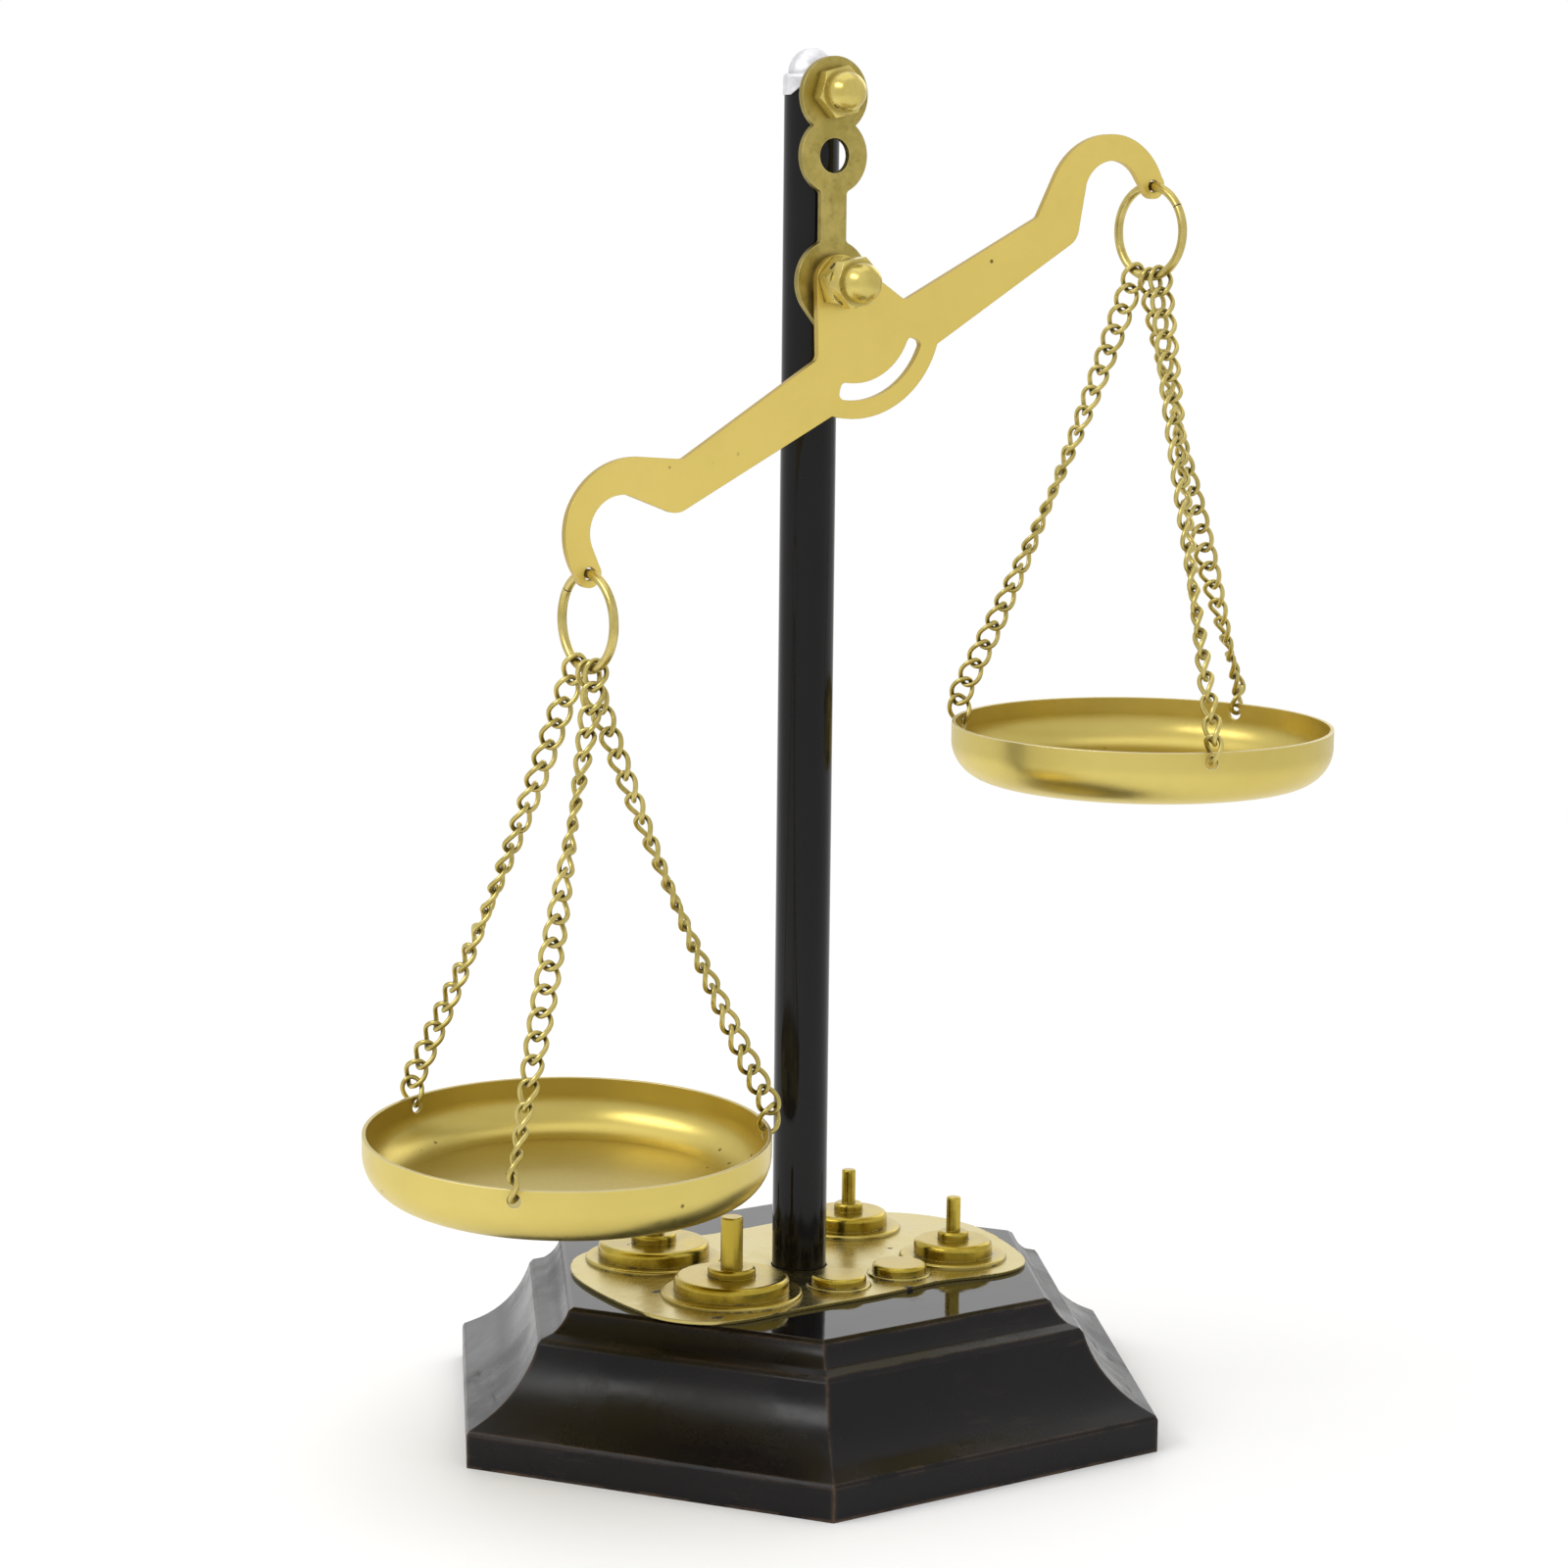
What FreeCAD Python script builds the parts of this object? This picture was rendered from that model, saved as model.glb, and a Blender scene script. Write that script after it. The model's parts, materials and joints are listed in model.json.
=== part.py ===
import FreeCAD, Part
import math
import os

# Equal arm balance scale: a hexagonal lacquered wooden plinth with a moulded tray of dummy
# weights, a tube post, a suspension link, a flat sheet beam and two pans on curb chains.
# Millimetres. The origin is on the resting surface under the axis of the post, +Z is up,
# +X runs along the beam to the right-hand pan and -Y is the front.

V = FreeCAD.Vector
X, Y, Z = V(1, 0, 0), V(0, 1, 0), V(0, 0, 1)
ORIGIN = V(0, 0, 0)

# --- plinth: a hexagon whose sides carry one moulding, turned a little against the beam
base_yaw = 3.4
corner_reach = 86.3            # axis to the left and right corners
corner_x, corner_y = 43.3, 72.7  # the four other corners
band_height = 7.1
plinth_height = 31.0
# the moulding in the plane of a corner, as the share of the corner's reach and the height
moulding_lip = (0.994, 7.9)
moulding_cove_foot = (0.966, 9.0)
moulding_cove_middle = (0.857, 15.5)
moulding_cove_top = (0.795, 24.2)
moulding_shoulder = (0.784, 25.2)
moulding_step = (0.751, 26.0)
moulding_step_middle = (0.722, 28.0)
moulding_top_edge = (0.705, 30.3)
moulding_top = (0.690, 31.0)
socket_depth = 15.0
recess_depth, recess_dia = 6.0, 24.0

# --- tray of dummy weights, one moulded sheet on top of the plinth
sheet = 0.8
tray_outline = [(-40.5, 30.0), (-47.0, 19.0), (-50.0, 5.0), (-51.0, -9.0), (-48.5, -22.0),
                (-40.5, -29.5), (-25.0, -30.0), (-8.0, -30.2), (6.0, -29.6), (20.0, -28.6),
                (33.0, -30.8), (41.5, -28.0), (49.0, -15.0), (53.0, -1.0), (53.0, 12.0),
                (46.0, 25.0), (33.0, 32.0), (14.0, 32.6), (-4.0, 32.6), (-22.0, 35.2),
                (-33.0, 34.8)]
# centre x, centre y, body radius, flange radius, collar radius, stem radius, stem top
large_weights = [(-26.9, -12.3, 12.5, 15.4, 5.2, 2.4, 49.0), (-24.5, 21.5, 12.4, 15.2, 5.0, 2.4, 44.0)]
small_weights = [(32.6, -13.9, 8.8, 12.0, 3.5, 1.6, 45.6), (28.3, 19.8, 8.9, 12.0, 3.3, 1.6, 45.6)]
weight_top, flange_top, collar_top = 36.0, 32.7, 37.9
buttons = [(-3.1, -19.2, 6.0), (13.7, -18.9, 6.0)]
button_top = 34.3

# --- post, its domed cap and the bolt that holds it down
post_dia, post_bore = 12.0, 9.6
post_top = 292.4
cap_dia, cap_skirt_bottom, cap_top = 12.6, 288.5, 298.5
neck_dia, dome_dia = 11.4, 10.4
notch_radius, notch_z = 6.6, 286.1
plug_height = 22.0
bolt_dia, bolt_hole = 6.0, 6.2
hex_across_flats = 10.0

# --- hanger bolt, suspension link and pivot, stacked along -Y from the post
hanger_z = 289.1
link_back, link_front = -7.7, -9.2
link_holes_z = (288.45, 275.75)
link_open_hole_dia = 7.4
lobe_radius = 8.2
link_bar_width = 6.3
pivot_z = 249.2
pivot_lobe_radius = 8.9
link_tail = 5.2
washer_thick, washer_dia = 1.2, 11.0
play = 0.05
beam_thick = 1.6
pivot_nut_thick = 4.0
cap_nut_hex, cap_nut_dome_radius, cap_nut_neck = 3.2, 4.25, 1.2
rivet_head_thick, rivet_head_dia = 1.3, 10.0

# --- beam, in its own plane with the pivot at (0, 0)
beam_tilt = 29.3               # the left end hangs low at rest
tab_radius = 5.8
arm_root_top, arm_root_bottom = (12.6, -11.6), (15.4, -24.0)
arm_end_top, arm_end_bottom = (51.6, -13.1), (56.6, -22.6)
neck_start, neck_middle, neck_end = (60.6, -7.15), (70.6, -4.65), (80.6, -8.75)
hook_back, hook_heel = (84.5, -14.6), (85.35, -21.6)
hook_tip, hook_nose = (82.65, -25.2), (79.65, -22.2)
throat_start, throat_middle, throat_end = (79.3, -18.7), (71.6, -11.05), (66.6, -12.8)
chin_start, chin_middle = (60.2, -20.5), (58.9, -21.8)
hook_hole, hook_hole_dia = (82.4, -22.3), 2.8
bow_centre_y, bow_radius = -8.1, 22.1
slot_inner, slot_outer, slot_half_angle = 14.5, 18.2, 42.5

# --- hanging rings, chains and pans
ring_mean_radius, ring_wire = 10.0, 2.0
ring_gap_angle = 1.6
chain_wire = 1.1
link_half_length, link_half_width = 3.2, 2.3
ring_seat = 1.75               # top of a chain's wire loop above the middle of the ring's wire
ring_angles = (-20.0, 0.0, 27.0)  # where the three chains hang on the ring, front to rear
chain_sag = 2.0                # how far the middle of a chain hangs under its straight line
last_link_lean = 15.0          # outward lean of the link that hangs in the pan's hole
last_link_skew = 30.0          # its turn about its own length there
pan_radius, pan_wall, pan_depth = 43.2, 0.8, 12.6
pan_rim_height, pan_flat_radius = 3.5, 35.0
pan_hole_drop, pan_hole_dia = 2.3, 3.0

os.makedirs("parts", exist_ok=True)


def save(name, shape):
    """Write one node; a node with several pieces is a group of separate solids."""
    shape.exportStep("parts/" + name + ".step")


def cylinder(radius, start, end):
    """A round bar between two points."""
    return Part.makeCylinder(radius, (end - start).Length, start, end - start)


def hexagon_bar(across_flats, y_back, y_front, z, turn=0.0, x=0.0):
    """A hexagonal bar along -Y."""
    reach = across_flats / math.sqrt(3.0)
    corners = []
    for k in range(7):
        angle = math.radians(60 * k + turn)
        corners.append(V(x + reach * math.cos(angle), y_back, z + reach * math.sin(angle)))
    return Part.Face(Part.makePolygon(corners)).extrude(V(0, y_front - y_back, 0))


def turned(points, axis_point=ORIGIN, axis=Z):
    """A solid of revolution from a closed outline."""
    face = Part.Face(Part.makePolygon(points + [points[0]]))
    return face.revolve(axis_point, axis, 360)


def arc(first, middle, last):
    return Part.Arc(first, middle, last).toShape()


def line(first, last):
    return Part.LineSegment(first, last).toShape()


def plate(outline, y_back, thickness):
    """A flat plate from edges drawn in the plane y = 0."""
    face = Part.Face(Part.Wire(Part.__sortEdges__(outline)))
    body = face.extrude(V(0, -thickness, 0))
    body.translate(V(0, y_back, 0))
    return body


def edges_through(body):
    """The edges of a plate that run from its back face to its front face."""
    return [e for e in body.Edges
            if len(e.Vertexes) == 2 and abs(e.Vertexes[0].Y - e.Vertexes[1].Y) > 1.0]


def turn_base(shape):
    shape.rotate(ORIGIN, Z, base_yaw)
    return shape


# ------------------------------------------------------------------ plinth
def plinth_corners():
    points = [(corner_reach, 0), (corner_x, corner_y), (-corner_x, corner_y)]
    return points + [(-x, -y) for x, y in points]


def plinth_run(first, second):
    """A long bar whose two flanks carry the moulding of one side and of the side opposite."""
    a, b = V(first[0], first[1], 0), V(second[0], second[1], 0)
    along = (b - a).normalize()
    outward = V(along.y, -along.x, 0)
    apothem = a.dot(outward)
    edges = []
    for flank in (1, -1):
        def at(point):
            return outward * (flank * apothem * point[0]) + Z * point[1]

        band_top = (1.0, band_height)
        edges += [line(at((1.0, 0.0)), at(band_top)),
                  line(at(band_top), at(moulding_lip)),
                  line(at(moulding_lip), at(moulding_cove_foot)),
                  arc(at(moulding_cove_foot), at(moulding_cove_middle), at(moulding_cove_top)),
                  line(at(moulding_cove_top), at(moulding_shoulder)),
                  line(at(moulding_shoulder), at(moulding_step)),
                  arc(at(moulding_step), at(moulding_step_middle), at(moulding_top_edge)),
                  line(at(moulding_top_edge), at(moulding_top))]
    reach = outward * apothem
    top = outward * (apothem * moulding_top[0])
    edges.append(line(reach, reach * -1))
    edges.append(line(top + Z * plinth_height, Z * plinth_height - top))
    section = Part.Face(Part.Wire(Part.__sortEdges__(edges)))
    section.translate(along * -120)
    return section.extrude(along * 240)


def build_plinth():
    """Three crossing bars; what they share is the hexagon with its six mitred sides."""
    corners = plinth_corners()
    runs = [plinth_run(corners[k], corners[k + 1]) for k in range(3)]
    body = runs[0].common(runs[1]).common(runs[2])
    socket_bottom = plinth_height - socket_depth
    body = body.cut(cylinder(post_dia / 2 + 0.1, V(0, 0, socket_bottom), V(0, 0, 40)))
    body = body.cut(cylinder(bolt_hole / 2 + 0.2, V(0, 0, -1), V(0, 0, 20)))
    body = body.cut(cylinder(recess_dia / 2, V(0, 0, -1), V(0, 0, recess_depth)))
    return turn_base(body)


# ------------------------------------------------------------------ tray
def disc(x, y, radius, bottom, top, rounding):
    body = Part.makeCylinder(radius, top - bottom, V(x, y, bottom))
    upper = [e for e in body.Edges if len(e.Vertexes) == 1 and e.Vertexes[0].Z > top - 0.01]
    return body.makeFillet(rounding, upper)


def build_tray():
    curve = Part.BSplineCurve()
    points = [V(x, y, plinth_height) for x, y in tray_outline]
    curve.interpolate(Points=points, PeriodicFlag=True)
    body = Part.Face(Part.Wire(curve.toShape())).extrude(Z * sheet)
    floor = plinth_height + 0.2
    for x, y, radius, flange, collar, stem, stem_top in large_weights + small_weights:
        lumps = [disc(x, y, flange, floor, flange_top, 0.6),
                 disc(x, y, radius, floor, weight_top, 1.2),
                 disc(x, y, collar, floor, collar_top, 0.7),
                 disc(x, y, stem, floor, stem_top, 0.4)]
        body = body.fuse(lumps[0])
        for lump in lumps[1:]:
            body = body.fuse(lump)
    for x, y, radius in buttons:
        body = body.fuse(disc(x, y, radius + 1.1, floor, flange_top - 0.4, 0.3))
        body = body.fuse(disc(x, y, radius, floor, button_top, 0.8))
    body = body.cut(cylinder(post_dia / 2 + 0.2, V(0, 0, 20), V(0, 0, 60)))
    return turn_base(body)


# ------------------------------------------------------------------ post
def build_post():
    foot = plinth_height - socket_depth
    tube = cylinder(post_dia / 2, V(0, 0, foot), V(0, 0, post_top))
    tube = tube.cut(cylinder(post_bore / 2, V(0, 0, foot - 1), V(0, 0, post_top + 1)))
    collar = cylinder(post_dia / 2 + 1, V(0, 0, cap_skirt_bottom), V(0, 0, post_top + 1))
    neck = cylinder(neck_dia / 2, V(0, 0, cap_skirt_bottom - 1), V(0, 0, post_top + 2))
    tube = tube.cut(collar.cut(neck).cut(notch()))
    return tube.cut(cylinder(bolt_hole / 2, ORIGIN + Z * hanger_z, V(0, -10, hanger_z)))


def build_post_plug():
    """The solid plug in the top of the tube, tapped from the front for the hanger stud."""
    plug = cylinder(post_bore / 2 - 0.05, V(0, 0, post_top - 16), V(0, 0, post_top))
    return plug.cut(cylinder(bolt_dia / 2 + 0.05, V(0, 3, hanger_z), V(0, -10, hanger_z)))


def notch():
    """The arched clearance in the front of the cap's skirt."""
    return cylinder(notch_radius, V(0, 0, notch_z), V(0, -10, notch_z))


def build_cap():
    """A domed metal cap with a skirt over the turned-down end of the tube."""
    inner = neck_dia / 2 + 0.05
    shoulder = post_top + 0.6
    centre_z = cap_top - dome_dia / 2
    side_angle = math.radians(45)
    dome_half = dome_dia / 2
    points = [V(inner, 0, cap_skirt_bottom), V(cap_dia / 2, 0, cap_skirt_bottom),
              V(cap_dia / 2, 0, shoulder - 0.5), V(cap_dia / 2 - 0.4, 0, shoulder),
              V(dome_half, 0, shoulder), V(dome_half, 0, centre_z)]
    bend = V(dome_half * math.cos(side_angle), 0, centre_z + dome_half * math.sin(side_angle))
    edges = [line(points[k], points[k + 1]) for k in range(5)]
    edges.append(arc(points[5], bend, V(0, 0, cap_top)))
    edges.append(line(V(0, 0, cap_top), V(0, 0, post_top + 0.05)))
    edges.append(line(V(0, 0, post_top + 0.05), V(inner, 0, post_top + 0.05)))
    edges.append(line(V(inner, 0, post_top + 0.05), points[0]))
    body = Part.Face(Part.Wire(edges)).revolve(ORIGIN, Z, 360)
    return body.cut(notch())


def build_base_fastening():
    foot = plinth_height - socket_depth
    plug = cylinder(post_bore / 2 - 0.05, V(0, 0, foot), V(0, 0, foot + plug_height))
    plug = plug.cut(cylinder(bolt_dia / 2 + 0.05, V(0, 0, foot - 1), V(0, 0, foot + plug_height - 3)))
    washer_bottom = recess_depth - 1.4
    washer = cylinder(9.0, V(0, 0, washer_bottom), V(0, 0, recess_depth))
    washer = washer.cut(cylinder(bolt_hole / 2 + 0.1, V(0, 0, 0), V(0, 0, 10)))
    head = hexagon_bar(hex_across_flats, 0, 4.0, 0)
    head.rotate(ORIGIN, X, 90)
    head.translate(V(0, 0, washer_bottom - 4.0))
    shank = cylinder(bolt_dia / 2, V(0, 0, washer_bottom - 0.5), V(0, 0, foot + plug_height - 4))
    return plug, washer, head.fuse(shank)


# ------------------------------------------------------------------ hanger and pivot
def build_saddle():
    """A black distance boss whose inner end is hollowed to sit on the tube."""
    body = cylinder(5.4, V(0, -2, hanger_z), V(0, link_back, hanger_z))
    body = body.cut(cylinder(post_dia / 2 + 0.05, V(0, 0, 270), V(0, 0, 300)))
    body = body.cut(cylinder(bolt_hole / 2, V(0, 20, hanger_z), V(0, -20, hanger_z)))
    keep = Part.makeBox(20, 20, 20, V(-10, -20, post_top - 20.05))
    clear = cylinder(notch_radius - 0.1, V(0, 20, notch_z), V(0, -20, notch_z))
    return body.common(keep).common(clear)


def build_hanger_stud():
    return cylinder(bolt_dia / 2, V(0, 2.5, hanger_z), V(0, link_front - 5.0, hanger_z))


def cap_nut(z, y_back, turn):
    """An acorn nut: chamfered hexagon, short neck and dome, with a blind bore."""
    y_face = y_back - cap_nut_hex
    body = hexagon_bar(hex_across_flats, y_back, y_face, z, turn)
    reach = hex_across_flats / math.sqrt(3.0)
    rim = turned([V(0, y_back, 0), V(reach - 0.2, y_back, 0), V(reach + 0.1, y_back - 0.3, 0),
                  V(reach + 0.1, y_face + 0.5, 0), V(reach - 0.7, y_face, 0), V(0, y_face, 0)],
                 ORIGIN, Y)
    rim.translate(V(0, 0, z))
    body = body.common(rim)
    ball_y = y_face - cap_nut_neck
    neck = cylinder(cap_nut_dome_radius, V(0, y_face + 1, z), V(0, ball_y, z))
    ball = Part.makeSphere(cap_nut_dome_radius, V(0, ball_y, z), Y * -1, 0, 90, 360)
    body = body.fuse(neck).fuse(ball)
    return body.cut(cylinder(bolt_dia / 2 + 0.05, V(0, y_back + 1, z), V(0, y_back - 6.0, z)))


def tangent_touch(centre, radius, point, side):
    """Where a line from an outside point touches a circle; side picks left or right."""
    dx, dz = point[0] - centre[0], point[1] - centre[1]
    reach = math.hypot(dx, dz)
    angle = math.atan2(dz, dx) + side * math.acos(radius / reach)
    return centre[0] + radius * math.cos(angle), centre[1] + radius * math.sin(angle)


def build_link():
    lobes = []
    for z in link_holes_z:
        lobes.append(cylinder(lobe_radius, V(0, link_back, z), V(0, link_front, z)))
    thick = link_back - link_front
    bar = Part.makeBox(link_bar_width, thick, link_holes_z[1] - pivot_z,
                       V(-link_bar_width / 2, link_front, pivot_z))
    eye = cylinder(pivot_lobe_radius, V(0, link_back, pivot_z), V(0, link_front, pivot_z))
    tip = (0.0, pivot_z - pivot_lobe_radius - link_tail)
    centre = (0.0, pivot_z)
    left = tangent_touch(centre, pivot_lobe_radius, tip, -1)
    right = tangent_touch(centre, pivot_lobe_radius, tip, 1)
    corners = [V(left[0], 0, left[1]), V(tip[0], 0, tip[1]), V(right[0], 0, right[1])]
    outline = [line(corners[0], corners[1]), line(corners[1], corners[2]), line(corners[2], corners[0])]
    tail = plate(outline, link_back, thick)
    body = lobes[0].multiFuse([lobes[1], bar, eye, tail]).removeSplitter()
    tip_edges = [e for e in edges_through(body) if abs(e.Vertexes[0].Z - tip[1]) < 0.01]
    body = body.makeFillet(2.0, tip_edges)
    neck_edges = [e for e in edges_through(body)
                  if pivot_z + 5 < e.Vertexes[0].Z < link_holes_z[1] - 5
                  and abs(abs(e.Vertexes[0].X) - link_bar_width / 2) < 0.01]
    body = body.makeFillet(1.0, neck_edges)
    for z in link_holes_z:
        body = body.cut(cylinder(link_open_hole_dia / 2, V(0, 0, z), V(0, -20, z)))
    return body.cut(cylinder(bolt_hole / 2, V(0, 0, pivot_z), V(0, -20, pivot_z)))


def build_pivot():
    """Washer, chamfered nut and bolt of the pivot, and the depth of the nut's front face."""
    washer_front = link_front - washer_thick
    washer = cylinder(washer_dia / 2, V(0, link_front, pivot_z), V(0, washer_front, pivot_z))
    washer = washer.cut(cylinder(bolt_hole / 2, V(0, 0, pivot_z), V(0, -20, pivot_z)))
    back = washer_front - 2 * play - beam_thick
    front = back - pivot_nut_thick
    nut = hexagon_bar(hex_across_flats, back, front, pivot_z, 48)
    reach = hex_across_flats / math.sqrt(3.0)
    rim = turned([V(0, back, 0), V(reach - 0.5, back, 0), V(reach + 0.1, back - 0.35, 0),
                  V(reach + 0.1, front + 0.35, 0), V(reach - 0.5, front, 0), V(0, front, 0)],
                 ORIGIN, Y)
    rim.translate(V(0, 0, pivot_z))
    nut = nut.common(rim)
    nut = nut.cut(cylinder(bolt_dia / 2 + 0.05, V(0, 0, pivot_z), V(0, -30, pivot_z)))
    head_back = link_back + rivet_head_thick
    head = cylinder(rivet_head_dia / 2, V(0, head_back, pivot_z), V(0, link_back, pivot_z))
    rim_edges = [e for e in head.Edges if len(e.Vertexes) == 1 and e.Vertexes[0].Y > link_back + 0.5]
    head = head.makeFillet(0.6, rim_edges)
    shank = cylinder(bolt_dia / 2, V(0, link_back + 0.5, pivot_z), V(0, front - 5.0, pivot_z))
    return washer, nut, head.fuse(shank), front


# ------------------------------------------------------------------ beam
def beam_half(side):
    """The outline from the top of the tab to the foot of the bow, on one side."""
    def at(point):
        return V(side * point[0], 0, point[1])

    touch = tangent_touch((0.0, 0.0), tab_radius, arm_root_top, 1)
    half_way = math.radians((math.degrees(math.atan2(touch[1], touch[0])) + 90) / 2)
    tab_middle = (tab_radius * math.cos(half_way), tab_radius * math.sin(half_way))
    return [arc(at((0.0, tab_radius)), at(tab_middle), at(touch)),
            line(at(touch), at(arm_root_top)),
            line(at(arm_root_top), at(arm_end_top)),
            line(at(arm_end_top), at(neck_start)),
            arc(at(neck_start), at(neck_middle), at(neck_end)),
            arc(at(neck_end), at(hook_back), at(hook_heel)),
            arc(at(hook_heel), at(hook_tip), at(hook_nose)),
            line(at(hook_nose), at(throat_start)),
            arc(at(throat_start), at(throat_middle), at(throat_end)),
            line(at(throat_end), at(chin_start)),
            arc(at(chin_start), at(chin_middle), at(arm_end_bottom)),
            line(at(arm_end_bottom), at(arm_root_bottom))]


def build_beam():
    bow_bottom = V(0, 0, bow_centre_y - bow_radius)
    left_foot = V(-arm_root_bottom[0], 0, arm_root_bottom[1])
    right_foot = V(arm_root_bottom[0], 0, arm_root_bottom[1])
    outline = beam_half(1) + beam_half(-1) + [arc(left_foot, bow_bottom, right_foot)]
    back = link_front - washer_thick - play
    body = plate(outline, back, beam_thick)
    root_edges = []
    for edge in edges_through(body):
        x, z = edge.Vertexes[0].X, edge.Vertexes[0].Z
        if abs(abs(x) - arm_root_top[0]) < 0.01 and abs(z - arm_root_top[1]) < 0.01:
            root_edges.append(edge)
        if abs(abs(x) - arm_end_top[0]) < 0.01 and abs(z - arm_end_top[1]) < 0.01:
            root_edges.append(edge)
    body = body.makeFillet(1.6, root_edges)
    body = body.cut(bow_slot(back))
    body = body.cut(cylinder(bolt_dia / 2 + 0.05, V(0, 0, 0), V(0, -30, 0)))
    for side in (-1, 1):
        x, z = side * hook_hole[0], hook_hole[1]
        body = body.cut(cylinder(hook_hole_dia / 2, V(x, 0, z), V(x, -30, z)))
    body.rotate(ORIGIN, Y, -beam_tilt)
    body.translate(V(0, 0, pivot_z))
    return body


def bow_slot(back):
    """The curved slot above the bow, with rounded ends."""
    centre = (0.0, bow_centre_y)

    def at(radius, angle):
        turn = math.radians(angle)
        return V(centre[0] + radius * math.sin(turn), 0, centre[1] - radius * math.cos(turn))

    half = slot_half_angle
    edges = [arc(at(slot_inner, -half), at(slot_inner, 0), at(slot_inner, half)),
             line(at(slot_inner, half), at(slot_outer, half)),
             arc(at(slot_outer, half), at(slot_outer, 0), at(slot_outer, -half)),
             line(at(slot_outer, -half), at(slot_inner, -half))]
    body = plate(edges, back + 1, beam_thick + 2)
    return body.makeFillet(1.3, edges_through(body))


def hook_point(side):
    """The centre of a hook's hole once the beam is tilted."""
    tilt = math.radians(beam_tilt)
    u, v = side * hook_hole[0], hook_hole[1]
    x = u * math.cos(tilt) - v * math.sin(tilt)
    z = pivot_z + u * math.sin(tilt) + v * math.cos(tilt)
    return V(x, link_front - washer_thick - play - beam_thick / 2, z)


# ------------------------------------------------------------------ rings and chains
def build_ring(hole, yaw, gap_angle):
    """An open jump ring of round wire standing across the beam."""
    wire = Part.Wire(Part.Circle(V(0, ring_mean_radius, 0), Z, ring_wire / 2).toShape())
    ring = Part.Face(wire)
    ring = ring.revolve(ORIGIN, X, 360 - ring_gap_angle)
    ring.rotate(ORIGIN, X, gap_angle + ring_gap_angle / 2)
    ring.rotate(ORIGIN, Z, yaw)
    ring.translate(hole - Z * ring_mean_radius)
    return ring


def link_solid(half_length, half_width, twist):
    """One chain link: an oval loop of round wire whose ends are turned by the twist.

    The skin is one smooth surface closed both ways, so that every link is a light solid.
    """
    along, around = 16, 8

    def centre(t):
        x, y = half_length * math.cos(t), half_width * math.sin(t)
        angle = math.radians(twist) * x / half_length
        return V(x, y * math.cos(angle), y * math.sin(angle))

    def swell(count):
        return 3.0 / (2.0 + math.cos(2 * math.pi / count))

    rows = []
    for k in range(along):
        t = 2 * math.pi * k / along
        point = centre(t)
        tangent = (centre(t + 0.001) - centre(t - 0.001)).normalize()
        outward = (point - tangent * point.dot(tangent)).normalize()
        across = tangent.cross(outward)
        row = []
        for j in range(around):
            turn = 2 * math.pi * j / around
            offset = outward * math.cos(turn) + across * math.sin(turn)
            row.append(point * swell(along) + offset * (chain_wire / 2 * swell(around)))
        rows.append(row)
    skin = Part.BSplineSurface()
    skin.buildFromPolesMultsKnots(rows, [1] * (along + 1), [1] * (around + 1),
                                  list(range(along + 1)), list(range(around + 1)), True, True, 3, 3)
    solid = Part.Solid(Part.Shell([skin.toShape()]))
    if solid.Volume < 0:
        solid.reverse()
    return solid


def place_link(solid, centre, down, plane, roll):
    """Stand a link along the chain; its flat side holds the plane vector, turned by roll."""
    side = (plane - down * plane.dot(down)).normalize()
    normal = down.cross(side)
    turn = math.radians(roll)
    y_axis = side * math.cos(turn) + normal * math.sin(turn)
    z_axis = down.cross(y_axis)
    matrix = FreeCAD.Matrix(down.x, y_axis.x, z_axis.x, centre.x,
                            down.y, y_axis.y, z_axis.y, centre.y,
                            down.z, y_axis.z, z_axis.z, centre.z, 0, 0, 0, 1)
    copy = solid.copy()
    copy.Placement = FreeCAD.Placement(matrix)
    return copy


def build_chain(ring_centre, yaw, ring_angle, pan_hole, pan_out, pan_up, wanted_turn):
    """A twisted-link chain from the ring to a hole in the pan.

    Each link's two ends stand at right angles, so equal links lie one way. The last link hangs
    in the hole and leans outward over the rim, with its legs on either side of the wall; the
    others sag a little on their way from the ring to it, turned along their length to suit
    both ends.
    """
    turn = math.radians(ring_angle)
    spin = FreeCAD.Rotation(Z, yaw)
    towards = spin.multVec(V(0, math.sin(turn), -math.cos(turn)))
    tangent = spin.multVec(V(0, math.cos(turn), math.sin(turn)))
    hung_from = ring_centre + towards * ring_mean_radius
    step = 2 * link_half_length
    hooked, hooked_bent = 1.18 * chain_wire, 1.75 * chain_wire
    lean = math.radians(last_link_lean)
    climb = pan_up * math.cos(lean) + pan_out * math.sin(lean)
    meeting = pan_hole + climb * (step - hooked_bent / 2)
    down = (meeting - hung_from).normalize()
    top = hung_from - down * ring_seat
    length = (meeting - top).Length + hooked_bent / 2
    count = math.ceil((length - hooked) / (step - hooked))
    overlap = (step * count - length) / (count - 1)
    first = tangent.cross(down).normalize()
    last = (pan_out - down * pan_out.dot(down)).normalize()
    inward = last * -1
    whole = math.degrees(math.atan2(last.dot(down.cross(first)), last.dot(first)))
    whole += last_link_skew - 90
    whole += 180 * round((wanted_turn - whole) / 180)
    solid = link_solid(link_half_length, link_half_width, 45)
    links = []
    for k in range(count):
        along = link_half_length + k * (step - overlap)
        share = along / length
        centre = top + down * along + inward * (4 * chain_sag * share * (1 - share))
        heading = (down * length + inward * (4 * chain_sag * (1 - 2 * share))).normalize()
        links.append(place_link(solid, centre, heading, first, 45 + whole * k / (count - 1)))
    links.append(place_link(solid, pan_hole + climb * link_half_length, climb * -1, pan_out,
                            last_link_skew - 45))
    return Part.makeCompound(links)


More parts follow.
